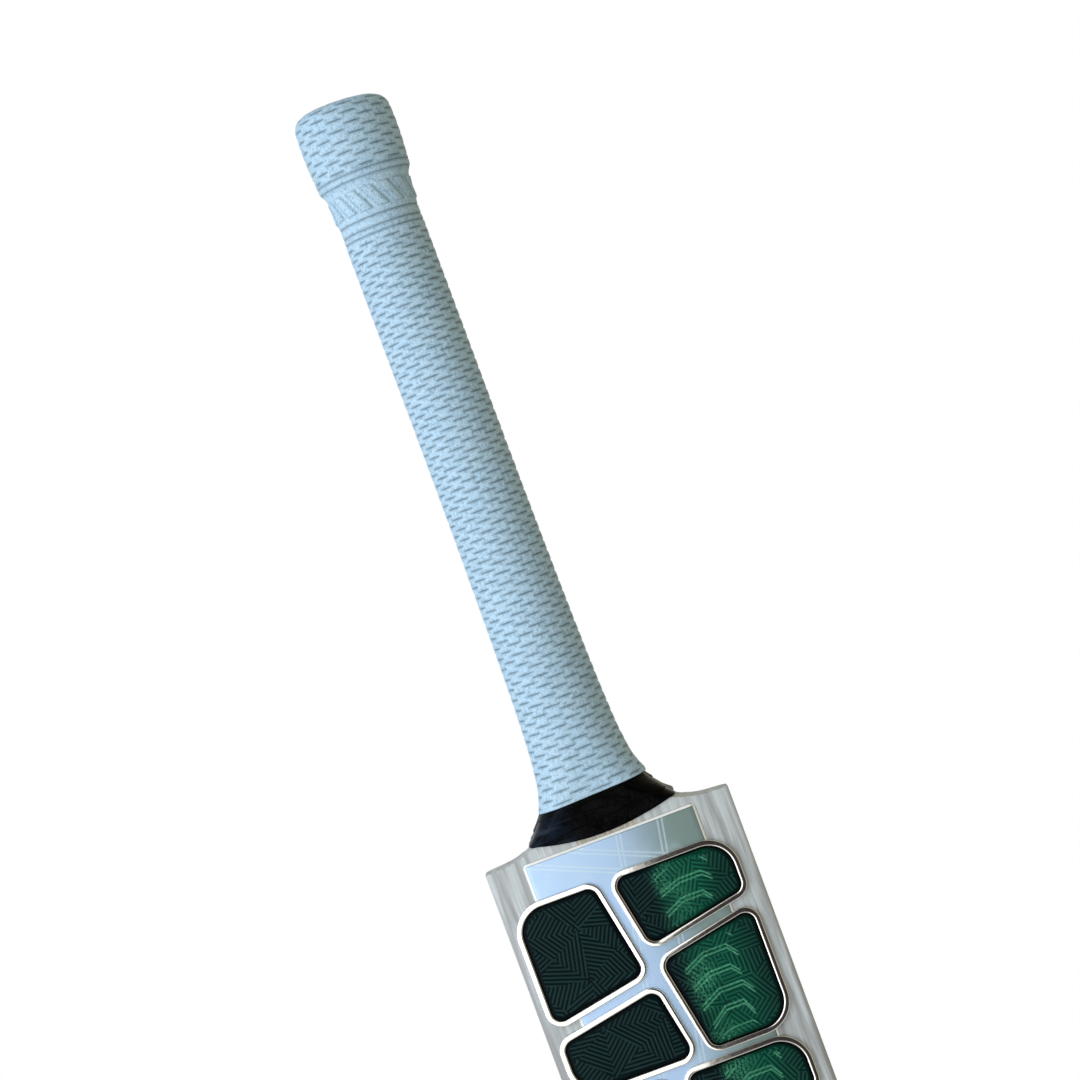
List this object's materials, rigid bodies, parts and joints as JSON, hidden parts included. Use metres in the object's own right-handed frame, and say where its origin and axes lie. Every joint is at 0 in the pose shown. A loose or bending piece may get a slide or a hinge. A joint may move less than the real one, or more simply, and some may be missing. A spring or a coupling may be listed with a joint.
{
  "type": "cricket bat",
  "caption": "Full size cricket bat with a ridged willow blade, a spliced cane handle, a basket-weave rubber grip with a knob, and raised badges on the face.",
  "frame": {"origin": "on the handle's axis, halfway between the shoulder of the blade and the top of the grip", "axes": "+Z along the handle towards its top; the hitting face looks along -Y; +X across the blade, to the right when the face is seen with the handle up"},
  "size_m": [0.1076, 0.0724, 0.862],
  "materials": {
    "willow": "pale straight-grained willow, lightly polished",
    "cane": "split cane, glued and sanded",
    "spring_rubber": "flat black rubber strip",
    "toe_rubber": "flat black moulded rubber",
    "twine": "waxed linen thread, close wound",
    "black_tape": "glossy stretched tape with overlapped turns",
    "grip_rubber": "matte pale blue rubber with a moulded basket weave",
    "rim_film": "bright metallised film, domed",
    "dark_panel": "near black satin film with raised hatching",
    "green_panel": "dark green satin film with raised hatching",
    "base_film": "pale blue satin film with a silver border",
    "back_film": "dark green satin film",
    "edge_film": "pale blue satin film"
  },
  "bodies": {
    "root": {"back_sticker": "back_film", "base_sticker": "base_film", "blade": "willow", "cane_back_centre": "cane", "cane_back_left": "cane", "cane_back_right": "cane", "cane_front_centre": "cane", "cane_front_left": "cane", "cane_front_right": "cane", "cane_mid_back_centre": "cane", "cane_mid_back_left": "cane", "cane_mid_back_right": "cane", "cane_mid_front_centre": "cane", "cane_mid_front_left": "cane", "cane_mid_front_right": "cane", "edge_sticker_left": "edge_film", "edge_sticker_right": "edge_film", "grip": "grip_rubber", "lower_badge_panel_bottom_left": "dark_panel", "lower_badge_panel_bottom_right": "green_panel", "lower_badge_panel_top_left": "dark_panel", "lower_badge_panel_top_right": "green_panel", "lower_badge_rim_bottom_left": "rim_film", "lower_badge_rim_bottom_right": "rim_film", "lower_badge_rim_top_left": "rim_film", "lower_badge_rim_top_right": "rim_film", "rubber_spring_back": "spring_rubber", "rubber_spring_front": "spring_rubber", "rubber_spring_middle": "spring_rubber", "shoulder_tape": "black_tape", "toe_guard": "toe_rubber", "twine_binding": "twine", "upper_badge_panel_bottom_left": "dark_panel", "upper_badge_panel_bottom_right": "green_panel", "upper_badge_panel_top_left": "dark_panel", "upper_badge_panel_top_right": "green_panel", "upper_badge_rim_bottom_left": "rim_film", "upper_badge_rim_bottom_right": "rim_film", "upper_badge_rim_top_left": "rim_film", "upper_badge_rim_top_right": "rim_film"}
  },
  "joints": []
}
